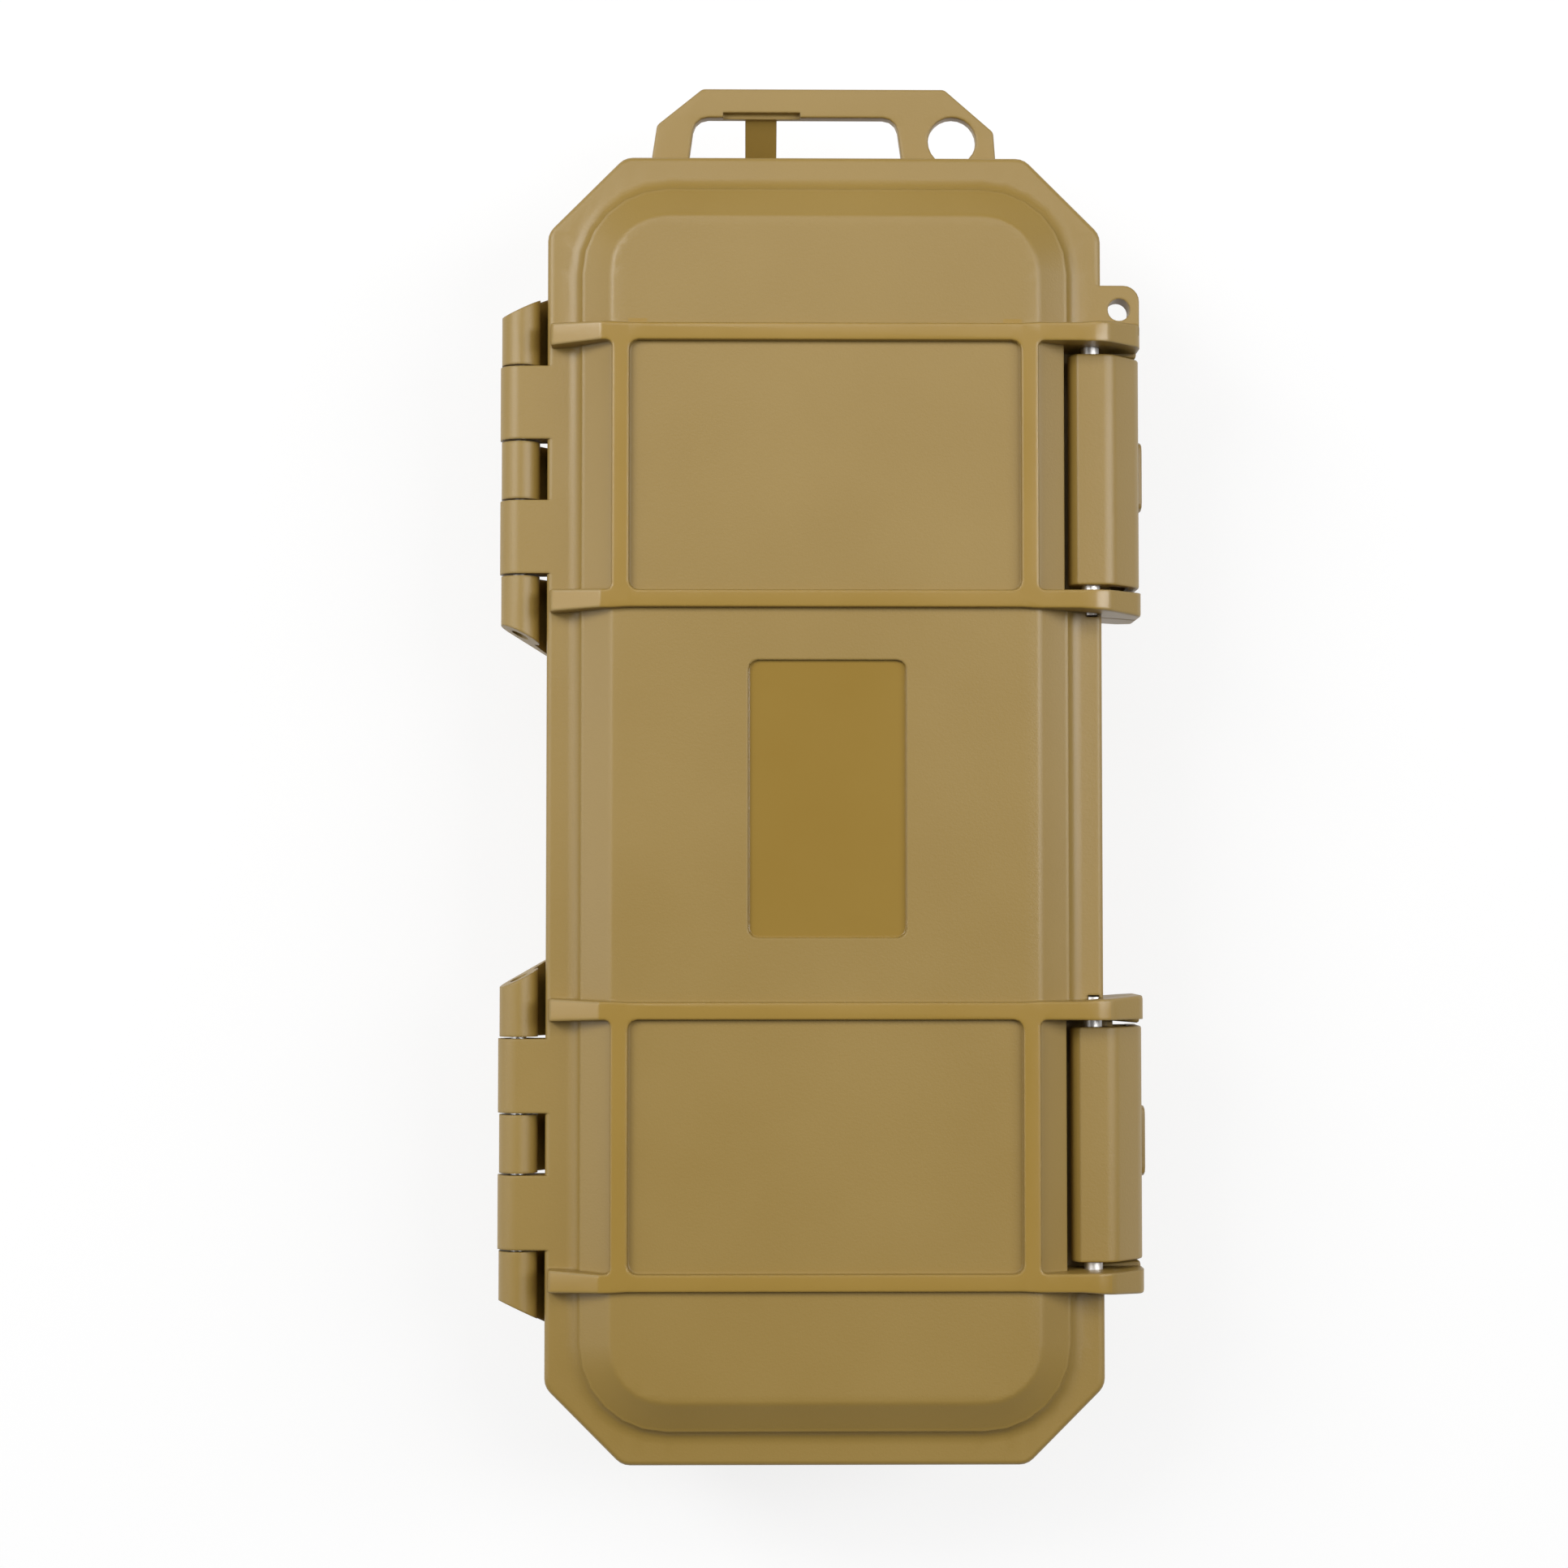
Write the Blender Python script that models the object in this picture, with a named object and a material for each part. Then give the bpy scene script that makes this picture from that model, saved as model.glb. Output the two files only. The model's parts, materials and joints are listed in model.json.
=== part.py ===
"""A slim waterproof hard case: a deep base and a shallow lid on two pinned hinges, held shut by
two latches that swing on steel pins. Metres, +Z up. The case lies on its base, its long side
along Y with the carrying handle at +Y, the hinges at -X and the latches at +X."""

import math

import bmesh
import bpy
from mathutils import Matrix, Vector

# Octagonal flange that both shells share
FLANGE_WIDTH = 0.0865
FLANGE_LENGTH = 0.2033
LID_FLANGE_THICKNESS = 0.0053
BASE_FLANGE_THICKNESS = 0.0026
FLANGE_CORNER_CUT = 0.0120
FLANGE_CORNER_ROUND = 0.0030
FLANGE_EDGE_ROUND = 0.0008
PARTING_HEIGHT = 0.0306
SEAT_GAP = 0.0003
RIM_ROUND = 0.00035

# Shell outlines are rounded rectangles set in from the flange's edge
SHELL_CORNER_RADIUS = 0.0187
CAVITY_INSET = 0.0099

# Lid dome, from the flange up
LID_RISE = 0.0046
LID_WALL = 0.0020
DOME_FOOT_INSET = 0.0032
DOME_FOOT_FILLET = 0.0023
DOME_FOOT_RISE = 0.0016
DOME_LEDGE = 0.0005
DOME_LEDGE_RISE = 0.0001
DOME_SLOPE_RUN = 0.0036
DOME_EDGE_ROUND = 0.0005

# Base body, from the flange down
BASE_FOOT_INSET = 0.0056
BASE_FOOT_FILLET = 0.0012
BASE_WALL_DRAFT = 0.0013
BASE_BOTTOM_ROUND = 0.0030
BASE_FLOOR = 0.0022
CAVITY_DRAFT = 0.0010
CAVITY_BOTTOM_ROUND = 0.0022

# Seal between the shells
SEAL_INSET = 0.0078
SEAL_RADIUS = 0.00085
SEAL_SIDE_GAP = 0.0003
GROOVE_DEPTH = 0.0026
TONGUE_WIDTH = 0.0011
TONGUE_HEIGHT = 0.0007

# Belts of ribs round the case, one at each pair of hinge and latch
BELT_INSET = 0.04925
RIB_SPREAD = 0.0207
RIB_WIDTH = 0.0027
RIB_HEIGHT = 0.0012
RIB_BURY = 0.0010
RAIL_INSET = 0.01165
RIB_CORNER_FILLET = 0.0014
WING_DROP = 0.0034
WING_END_INSET = 0.0006
WING_END_WIDTH = 0.0036

# Label place in the lid's face
LABEL_WIDTH = 0.0244
LABEL_LENGTH = 0.0428
LABEL_DEPTH = 0.0006
LABEL_CORNER = 0.0015
LABEL_SHIFT_X = 0.0003
LABEL_SHIFT_Y = 0.0009

# Hinges
HINGE_OFFSET = 0.0043
HINGE_HALF_LENGTH = 0.0273
LID_KNUCKLE_START = 0.00465
LID_KNUCKLE_END = 0.0164
LID_KNUCKLE_RADIUS = 0.0032
BASE_KNUCKLE_RADIUS = 0.0030
HINGE_PIN_RADIUS = 0.0012
KNUCKLE_GAP = 0.0003
BRACKET_CHAMFER = 0.0035
BRACKET_DEPTH = 0.0115
BRACKET_TOP_DROP = 0.0030
BRACKET_BURY = 0.0050
BRACKET_DRAFT = 0.0016
KNUCKLE_ARM_BURY = 0.0030

# Latches and the guards beside them
LATCH_LENGTH = 0.0362
LATCH_END_GAP = 0.0012
LATCH_PIN_RADIUS = 0.00145
LATCH_PIN_PROUD = 0.0005
PIN_RUNNING_GAP = 0.0001
PIN_END_GAP = 0.0003
LATCH_PIN_INSET = 0.0016
LATCH_PIN_RISE = 0.0043
LATCH_HEAD_RADIUS = 0.0035
LATCH_HEAD_GAP = 0.0009
LATCH_TOP_RISE = 0.0027
LATCH_SHOULDER = 0.0015
LATCH_SHOULDER_ROUND = 0.0030
LATCH_REACH = 0.0065
LATCH_SLOPE_DROP = 0.0055
LATCH_SLOPE_ROUND = 0.0040
LATCH_WALL = 0.0020
LATCH_DROP = 0.0127
LATCH_TIP_ROUND = 0.0005
LIP_FLARE = 0.0003
LIP_HEIGHT = 0.0018
HOOK_THICKNESS = 0.0012
HOOK_RAMP = 0.0014
HOOK_BITE = 0.0007
PAD_RISE = 0.0007
PAD_LENGTH = 0.0110
PAD_HEIGHT = 0.0052
CATCH_REACH = 0.0022
CATCH_TOP_DROP = 0.0004
CATCH_CHAMFER = 0.0011
CATCH_DROP = 0.0040
CATCH_LEDGE = 0.0026
CATCH_GUSSET = 0.0036
GUARD_THICKNESS = 0.0029
GUARD_END_THICKNESS = 0.0045
GUARD_SHOULDER = 0.0001
GUARD_SHOULDER_ROUND = 0.0045
GUARD_REACH = 0.0062
GUARD_SLOPE_ROUND = 0.0030
GUARD_DEPTH = 0.0085
GUARD_CORNER_CUT = 0.0022
GUARD_BACK = 0.0040

# Handle loop at the base's +Y end
HANDLE_REACH = 0.0124
HANDLE_TOP_DROP = 0.0003
HANDLE_THICKNESS = 0.0026
HANDLE_CREST_HALF = 0.0192
HANDLE_LEFT_SHOULDER = 0.0264
HANDLE_LEFT_SHOULDER_REACH = 0.0066
HANDLE_RIGHT_SHOULDER = 0.0270
HANDLE_RIGHT_SHOULDER_REACH = 0.0056
HANDLE_ROOT_HALF = 0.0274
HANDLE_ROOT_DEPTH = 0.0055
HANDLE_CORNER_ROUND = 0.0012
HANDLE_BAR = 0.0046
HANDLE_SEAM = 0.0005
SLOT_LEFT = 0.0214
SLOT_RIGHT = 0.0125
SLOT_TAPER = 0.0010
SLOT_CORNER = 0.0024
CORD_HOLE_RADIUS = 0.0038
CORD_HOLE_X = 0.0204
CORD_HOLE_REACH = 0.0041
STRUT_LEFT = 0.0124
STRUT_WIDTH = 0.0050
STRUT_THICKNESS = 0.0034
STRUT_FALL = 0.0170
STRUT_OVERLAP = 0.0005
STRUT_REACH = 0.0100
NOTCH_LEFT = 0.0159
NOTCH_WIDTH = 0.0122
NOTCH_CUT = 0.0008
NOTCH_DEPTH = 0.0012

# Lanyard lug on the lid
LUG_REACH = 0.0060
LUG_OVERLAP = 0.00095
LUG_LENGTH = 0.0078
LUG_THICKNESS = 0.0042
LUG_ROUND = 0.0025
LUG_HOLE_REACH = 0.00285
LUG_HOLE_INSET = 0.0038
LUG_HOLE_RADIUS = 0.00175
LUG_BURY = 0.0030

# Foam pads
FOAM_SIDE_GAP = 0.0006
BASE_FOAM_THICKNESS = 0.0060
LID_FOAM_THICKNESS = 0.0034
FOAM_EDGE_ROUND = 0.0008

# Colour of both shells and of the latches
SHELL_COLOUR = (0.352, 0.262, 0.118)

# How far a cut runs past the faces it opens, and how finely arcs are divided
OVERRUN = 0.0030
CORNER_STEPS = 6
SMALL_STEPS = 2
FILLET_STEPS = 3
ROUND_SIDES = 24
SMOOTH_ANGLE = math.radians(35)
MERGE_DISTANCE = 0.000001
DRAWING_SCALE = 1000
GRID = 0.0000001
MOST_ROUND_SHARE = 0.49

# Places that follow from the sizes above
HALF_WIDTH = FLANGE_WIDTH / 2
HALF_LENGTH = FLANGE_LENGTH / 2
LID_BOTTOM = PARTING_HEIGHT + SEAT_GAP
LID_FLANGE_TOP = LID_BOTTOM + LID_FLANGE_THICKNESS
LID_FACE = LID_FLANGE_TOP + LID_RISE
RIB_TOP = LID_FACE + RIB_HEIGHT
LID_CEILING = LID_FACE - LID_WALL
BASE_FLANGE_BOTTOM = PARTING_HEIGHT - BASE_FLANGE_THICKNESS
BASE_WALL_INSET = BASE_FOOT_INSET + BASE_FOOT_FILLET
BASE_BODY_BOTTOM = RIB_HEIGHT
FLOOR_TOP = BASE_BODY_BOTTOM + BASE_FLOOR
HINGE_X = -HALF_WIDTH - HINGE_OFFSET
HINGE_Z = LID_FLANGE_TOP - LID_KNUCKLE_RADIUS
LATCH_PIN_X = HALF_WIDTH - LATCH_PIN_INSET
LATCH_PIN_Z = PARTING_HEIGHT + LATCH_PIN_RISE
EAR_INNER = LATCH_LENGTH / 2 + LATCH_END_GAP
EAR_OUTER = EAR_INNER + GUARD_THICKNESS
RAIL_X = HALF_WIDTH - RAIL_INSET
HANDLE_TOP = PARTING_HEIGHT - HANDLE_TOP_DROP
HANDLE_BOTTOM = HANDLE_TOP - HANDLE_THICKNESS
LEFT_REACH = HINGE_OFFSET + LID_KNUCKLE_RADIUS
RIGHT_REACH = max(LATCH_REACH + max(PAD_RISE, LIP_FLARE), GUARD_REACH)

# The middle of the whole footprint lies at the world's origin
FRAME_X = (LEFT_REACH - RIGHT_REACH) / 2
FRAME_Y = -HANDLE_REACH / 2

BELT_CENTRE = HALF_LENGTH - BELT_INSET
BELTS = (("upper", BELT_CENTRE), ("lower", -BELT_CENTRE))


def clear_scene():
    for obj in list(bpy.data.objects):
        bpy.data.objects.remove(obj, do_unlink=True)


def new_collection(name):
    collection = bpy.data.collections.new(name)
    bpy.context.scene.collection.children.link(collection)
    return collection


clear_scene()
PARTS = new_collection("waterproof_hard_case")
CUTTERS = new_collection("cutters")


def rounded(corners, steps=CORNER_STEPS):
    """An outline's points: each corner is (x, y, radius), rounded by an arc where it has a radius."""
    points = []
    for index, (x, y, radius) in enumerate(corners):
        corner = Vector((x, y))
        before = Vector(corners[index - 1][:2]) - corner
        after = Vector(corners[(index + 1) % len(corners)][:2]) - corner
        if radius <= 0:
            points.append(corner)
            continue
        half = before.angle(after) / 2
        reach = min(radius / math.tan(half), min(before.length, after.length) * MOST_ROUND_SHARE)
        start = corner + before.normalized() * reach
        end = corner + after.normalized() * reach
        centre = corner + (before.normalized() + after.normalized()).normalized() * (
            reach / math.cos(half)
        )
        first, last = start - centre, end - centre
        turn = first.angle_signed(last)
        for step in range(steps + 1):
            points.append(centre + Matrix.Rotation(-turn * step / steps, 2) @ first)
    return points


def circle(x, y, radius, sides=ROUND_SIDES):
    turns = [math.tau * step / sides for step in range(sides)]
    return [Vector((x + radius * math.cos(a), y + radius * math.sin(a))) for a in turns]


def box_outline(left, right, low, high, radius=0.0, steps=SMALL_STEPS):
    corners = [(left, low, radius), (right, low, radius), (right, high, radius), (left, high, radius)]
    return rounded(corners, steps)


def flange_outline():
    """The octagon: a rectangle with its four corners cut off at 45 degrees and eased."""
    x, y, cut, r = HALF_WIDTH, HALF_LENGTH, FLANGE_CORNER_CUT, FLANGE_CORNER_ROUND
    corners = [(x, -y + cut, r), (x, y - cut, r), (x - cut, y, r), (-x + cut, y, r)]
    corners += [(-a, -b, radius) for a, b, radius in corners]
    return rounded(corners, FILLET_STEPS)


def shell_outline(inset):
    x, y = HALF_WIDTH - inset, HALF_LENGTH - inset
    return box_outline(-x, x, -y, y, max(SHELL_CORNER_RADIUS - inset, RIM_ROUND), CORNER_STEPS)


def flat_mesh(name, outline, low, high):
    """A plate between two heights, from a filled 2D curve."""
    curve = bpy.data.curves.new(name, "CURVE")
    curve.dimensions = "2D"
    curve.fill_mode = "BOTH"
    curve.extrude = (high - low) / 2
    spline = curve.splines.new("POLY")
    spline.points.add(len(outline) - 1)
    for point, (x, y) in zip(spline.points, outline):
        point.co = (x, y, 0.0, 1.0)
    spline.use_cyclic_u = True
    guide = bpy.data.objects.new(name + "_outline", curve)
    CUTTERS.objects.link(guide)
    bpy.context.view_layer.update()
    mesh = bpy.data.meshes.new_from_object(guide.evaluated_get(bpy.context.evaluated_depsgraph_get()))
    bpy.data.objects.remove(guide, do_unlink=True)
    bpy.data.curves.remove(curve)
    mesh.name = name
    mesh.transform(Matrix.Translation((0, 0, (high + low) / 2)))
    return mesh


def grow(bm, faces, profile):
    """Carries a cap on through a profile of (inset, rise) points, each measured from the start."""
    inset, rise = 0.0, 0.0
    for next_inset, next_rise in profile:
        bmesh.ops.inset_region(
            bm,
            faces=faces,
            thickness=next_inset - inset,
            depth=next_rise - rise,
            use_boundary=True,
            use_even_offset=True,
        )
        inset, rise = next_inset, next_rise


def convex(radius, steps=SMALL_STEPS, inset=0.0, rise=0.0):
    """A rounded edge that turns from an upright side onto the cap."""
    turns = [math.pi / 2 * (step + 1) / steps for step in range(steps)]
    return [(inset + radius * (1 - math.cos(a)), rise + radius * math.sin(a)) for a in turns]


def flared(radius):
    """The end of a cutter that rounds the rim of the hole it makes, and runs on past it."""
    return [(-inset, rise) for inset, rise in convex(radius)] + [(-radius, radius + OVERRUN)]


def concave(radius, steps=FILLET_STEPS):
    """A hollow fillet that turns from a flat foot up into a wall."""
    turns = [math.pi / 2 * (step + 1) / steps for step in range(steps)]
    return [(radius * math.sin(a), radius * (1 - math.cos(a))) for a in turns]


def enlarged(points):
    return [(a * DRAWING_SCALE, b * DRAWING_SCALE) for a, b in points]


def plate(name, outline, low, high, top=(), bottom=()):
    """A plate whose top and bottom caps can go on through a profile, such as a rounded rim.

    It is drawn enlarged, because Blender's fill and inset lose points that lie close together."""
    top, bottom = enlarged(top), enlarged(bottom)
    high = high * DRAWING_SCALE - (top[-1][1] if top else 0.0)
    low = low * DRAWING_SCALE + (bottom[-1][1] if bottom else 0.0)
    mesh = flat_mesh(name, enlarged(outline), low, high)
    bm = bmesh.new()
    bm.from_mesh(mesh)
    bmesh.ops.remove_doubles(bm, verts=bm.verts, dist=MERGE_DISTANCE * DRAWING_SCALE)
    middle = (high + low) / 2
    upper = [face for face in bm.faces if all(vert.co.z > middle for vert in face.verts)]
    lower = [face for face in bm.faces if all(vert.co.z < middle for vert in face.verts)]
    upper = bmesh.ops.dissolve_faces(bm, faces=upper)["region"]
    lower = bmesh.ops.dissolve_faces(bm, faces=lower)["region"]
    bmesh.ops.recalc_face_normals(bm, faces=bm.faces)
    grow(bm, upper, top)
    grow(bm, lower, bottom)
    bmesh.ops.scale(bm, vec=Vector((1, 1, 1)) / DRAWING_SCALE, verts=bm.verts)
    bm.to_mesh(mesh)
    bm.free()
    return mesh


def ring(name, half_width, low, high):
    """A band that follows the seal's path."""
    hole = plate(name + "_hole", shell_outline(SEAL_INSET + half_width), low - OVERRUN, high + OVERRUN)
    return plate(name, shell_outline(SEAL_INSET - half_width), low, high), [hole]


def upright(mesh, y=0.0):
    """Stands a plate drawn in X and Y up in X and Z, with its thickness along Y round a centre."""
    mesh.transform(Matrix(((1, 0, 0, 0), (0, 0, -1, y), (0, 1, 0, 0), (0, 0, 0, 1))))
    return mesh


def endways(mesh, x):
    """Stands a plate drawn in X and Y up in Y and Z, with its thickness along X round a centre."""
    mesh.transform(Matrix(((0, 0, 1, x), (1, 0, 0, 0), (0, 1, 0, 0), (0, 0, 0, 1))))
    return mesh


def upside_down(mesh, height):
    """Turns a plate over about the X axis, so that its foot is at a height."""
    mesh.transform(Matrix(((1, 0, 0, 0), (0, -1, 0, 0), (0, 0, -1, height), (0, 0, 0, 1))))
    return mesh


def taper(mesh, y, start, end, growth):
    """Widens an upright plate along X about a plane of constant Y.

    Its width is as drawn at start and is multiplied by growth at end."""
    for vertex in mesh.vertices:
        share = (vertex.co.x - start) / (end - start)
        vertex.co.y = y + (vertex.co.y - y) * (1 + (growth - 1) * share)
    bm = bmesh.new()
    bm.from_mesh(mesh)
    bmesh.ops.triangulate(bm, faces=bm.faces)
    bm.to_mesh(mesh)
    bm.free()
    return mesh


def rod(name, x, z, radius, y_low, y_high):
    """A round bar along Y."""
    mesh = bpy.data.meshes.new(name)
    bm = bmesh.new()
    bmesh.ops.create_cone(
        bm,
        cap_ends=True,
        segments=ROUND_SIDES,
        radius1=radius,
        radius2=radius,
        depth=y_high - y_low,
    )
    bm.to_mesh(mesh)
    bm.free()
    upright(mesh)
    mesh.transform(Matrix.Translation((x, (y_low + y_high) / 2, z)))
    return mesh


def material(name, colour, roughness, metallic=0.0):
    made = bpy.data.materials.new(name)
    made.use_nodes = True
    shader = made.node_tree.nodes["Principled BSDF"]
    shader.inputs["Base Color"].default_value = (*colour, 1.0)
    shader.inputs["Roughness"].default_value = roughness
    shader.inputs["Metallic"].default_value = metallic
    made.diffuse_color = (*colour, 1.0)
    return made


def shade(mesh):
    mesh.shade_smooth()
    mesh.set_sharp_from_angle(angle=SMOOTH_ANGLE)


def snap(mesh):
    """Puts the points on a fine grid, so that faces meant to be flush lie in exactly one plane."""
    for vertex in mesh.vertices:
        vertex.co = [round(value / GRID) * GRID for value in vertex.co]


def add_part(name, mesh, look, parent, axis=(0.0, 0.0, 0.0), mount=(0.0, 0.0, 0.0)):
    """Makes a part of a mesh drawn in case coordinates.

    Its origin goes to axis, and mount is where its parent's origin is."""
    mesh.transform(Matrix.Translation(-Vector(axis)))
    snap(mesh)
    mesh.materials.clear()
    mesh.materials.append(look)
    shade(mesh)
    obj = bpy.data.objects.new(name, mesh)
    obj.parent = parent
    obj.location = Vector(axis) - Vector(mount)
    PARTS.objects.link(obj)
    return obj


def add_helper(mesh, parent):
    """A hidden object for a Boolean: a mesh, or a pair of a mesh and the holes to cut in it."""
    mesh, holes = mesh if isinstance(mesh, tuple) else (mesh, ())
    snap(mesh)
    obj = bpy.data.objects.new(mesh.name, mesh)
    obj.parent = parent
    obj.hide_render = True
    obj.display_type = "WIRE"
    CUTTERS.objects.link(obj)
    combine(obj, "DIFFERENCE", holes, parent)
    return obj


def combine(target, operation, meshes, frame):
    """Joins meshes to a part, or cuts them from it, each with a Boolean modifier of its own."""
    for mesh in meshes:
        helper = add_helper(mesh, frame)
        modifier = target.modifiers.new(helper.name, "BOOLEAN")
        modifier.operation = operation
        modifier.solver = "EXACT"
        modifier.object = helper


def new_empty(name, parent, location):
    empty = bpy.data.objects.new(name, None)
    empty.parent = parent
    empty.location = location
    PARTS.objects.link(empty)
    return empty


def convex_edge(start):
    """Two short facets that ease the dome's slope onto its face."""
    steps = [(step + 1) / SMALL_STEPS for step in range(SMALL_STEPS)]
    return [
        (
            start[0] + 2 * DOME_EDGE_ROUND * share,
            start[1] + DOME_EDGE_ROUND * math.sin(math.pi / 2 * share),
        )
        for share in steps
    ]


def lid_dome():
    squash = DOME_FOOT_RISE / DOME_FOOT_FILLET
    fillet = [(run, rise * squash) for run, rise in concave(DOME_FOOT_FILLET)]
    ledge = (DOME_FOOT_FILLET + DOME_LEDGE, DOME_FOOT_RISE + DOME_LEDGE_RISE)
    slope = (ledge[0] + DOME_SLOPE_RUN, LID_RISE - DOME_EDGE_ROUND)
    profile = fillet + [ledge, slope] + convex_edge(slope)
    outline = shell_outline(DOME_FOOT_INSET)
    return plate("dome", outline, LID_FLANGE_TOP - RIB_BURY, LID_FACE, top=profile)


def wing_start():
    """How far out the frame of ribs ends and its wings go on."""
    return RAIL_X + RIB_WIDTH / 2 + RIB_CORNER_FILLET + RIM_ROUND


def wing_y(centre, side):
    return centre + side * (EAR_INNER + EAR_OUTER) / 2


def lid_belt(centre):
    """The H-shaped frame of ribs on the lid's face, with filleted corners."""
    stub = RAIL_X + RIB_WIDTH / 2
    hole_x = RAIL_X - RIB_WIDTH / 2
    end = wing_start()
    inner, outer, fillet = RIB_SPREAD - RIB_WIDTH / 2, RIB_SPREAD + RIB_WIDTH / 2, RIB_CORNER_FILLET
    half = [
        (hole_x, outer, 0.0),
        (stub, EAR_OUTER, 0.0),
        (end, EAR_OUTER, 0.0),
        (end, EAR_INNER, 0.0),
        (stub, EAR_INNER, fillet),
        (stub, -EAR_INNER, fillet),
        (end, -EAR_INNER, 0.0),
        (end, -EAR_OUTER, 0.0),
        (stub, -EAR_OUTER, 0.0),
        (hole_x, -outer, 0.0),
    ]
    corners = half + [(-x, -y, radius) for x, y, radius in half]
    frame = rounded([(x, y + centre, radius) for x, y, radius in corners], FILLET_STEPS)
    hole = box_outline(-hole_x, hole_x, centre - inner, centre + inner, fillet, FILLET_STEPS)
    low = LID_FACE - RIB_BURY
    top = RIB_TOP + OVERRUN
    cut = plate("lid_belt_hole", hole, low - OVERRUN, top, top=flared(RIM_ROUND))
    return plate("lid_belt", frame, low, RIB_TOP, top=convex(RIM_ROUND)), [cut]


def lid_wing(y):
    """A rib's left end, which slopes down over the dome to the flange's edge."""
    start = -wing_start()
    back = start + RIB_CORNER_FILLET
    end = -(HALF_WIDTH - WING_END_INSET)
    floor = LID_FLANGE_TOP - RIB_BURY
    corners = [
        (end, floor, 0.0),
        (back, floor, 0.0),
        (back, RIB_TOP, 0.0),
        (start, RIB_TOP, RIM_ROUND),
        (end, RIB_TOP - WING_DROP, FLANGE_EDGE_ROUND),
    ]
    half = GUARD_THICKNESS / 2
    rim = convex(RIM_ROUND)
    wing = upright(plate("wing", rounded(corners, SMALL_STEPS), -half, half, rim, rim), y)
    return taper(wing, y, start, end, WING_END_WIDTH / GUARD_THICKNESS)


def lid_arm(y):
    """A rib's right end as it runs on over the dome towards its ear."""
    floor = LID_FLANGE_TOP - RIB_BURY
    back = wing_start() - RIB_CORNER_FILLET
    end = HALF_WIDTH - GUARD_BACK + RIB_BURY
    corners = [(back, floor, 0.0), (end, floor, 0.0), (end, RIB_TOP, 0.0), (back, RIB_TOP, 0.0)]
    half = GUARD_THICKNESS / 2
    rim = convex(RIM_ROUND)
    return upright(plate("arm", rounded(corners, SMALL_STEPS), -half, half, rim, rim), y)


def guard_plate(name, outline, centre, side):
    """A plate beside a latch, which gets thicker towards its outer end."""
    half = GUARD_THICKNESS / 2
    rim = convex(RIM_ROUND)
    y = wing_y(centre, side)
    made = upright(plate(name, outline, -half, half, rim, rim), y)
    start, end = HALF_WIDTH - GUARD_BACK, HALF_WIDTH + GUARD_REACH
    return taper(made, y, start, end, GUARD_END_THICKNESS / GUARD_THICKNESS)


def lid_ear(centre, side):
    """The ear past the flange that carries a latch pin."""
    back = HALF_WIDTH - GUARD_BACK
    reach = HALF_WIDTH + GUARD_REACH
    corners = [
        (back, LID_BOTTOM, 0.0),
        (reach, LID_BOTTOM, 0.0),
        (reach, LID_FLANGE_TOP, GUARD_SLOPE_ROUND),
        (HALF_WIDTH + GUARD_SHOULDER, RIB_TOP, GUARD_SHOULDER_ROUND),
        (back, RIB_TOP, 0.0),
    ]
    return guard_plate("ear", rounded(corners, FILLET_STEPS), centre, side)


def lid_lug():
    """The lanyard lug beside the upper belt, flush with the flange's top."""
    x = HALF_WIDTH
    low, high = LID_FLANGE_TOP - LUG_THICKNESS, LID_FLANGE_TOP
    bottom = BELT_CENTRE + EAR_OUTER - LUG_OVERLAP
    top = bottom + LUG_LENGTH
    corners = [
        (x - LUG_BURY, bottom, 0.0),
        (x + LUG_REACH, bottom, 0.0),
        (x + LUG_REACH, top, LUG_ROUND),
        (x - LUG_BURY, top, 0.0),
    ]
    hole = circle(x + LUG_HOLE_REACH, top - LUG_HOLE_INSET, LUG_HOLE_RADIUS)
    cut = plate("lug_hole", hole, low - OVERRUN, high + OVERRUN)
    return plate("lid_lug", rounded(corners), low, high), [cut]


def knuckle_spans(centre, moving):
    """The Y spans of a hinge's knuckles: two on the lid, or three on the base."""
    gap = KNUCKLE_GAP / 2
    if moving:
        spans = [(LID_KNUCKLE_START + gap, LID_KNUCKLE_END - gap)]
        spans += [(-high, -low) for low, high in spans]
    else:
        spans = [(-LID_KNUCKLE_START + gap, LID_KNUCKLE_START - gap)]
        spans.append((LID_KNUCKLE_END + gap, HINGE_HALF_LENGTH))
        spans.append((-HINGE_HALF_LENGTH, -LID_KNUCKLE_END - gap))
    return [(centre + low, centre + high) for low, high in spans]


def lid_knuckle(low, high):
    """A barrel with a flat arm that is flush with the flange's top."""
    arm = box_outline(HINGE_X, -HALF_WIDTH + KNUCKLE_ARM_BURY, LID_BOTTOM, LID_FLANGE_TOP)
    half = (high - low) / 2
    barrel = rod("barrel", HINGE_X, HINGE_Z, LID_KNUCKLE_RADIUS, low, high)
    return barrel, upright(plate("knuckle_arm", arm, -half, half), low + half)


def belt_cut(name, radius, centre, x, z, half_length):
    return rod(name, x, z, radius, centre - half_length, centre + half_length)


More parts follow.
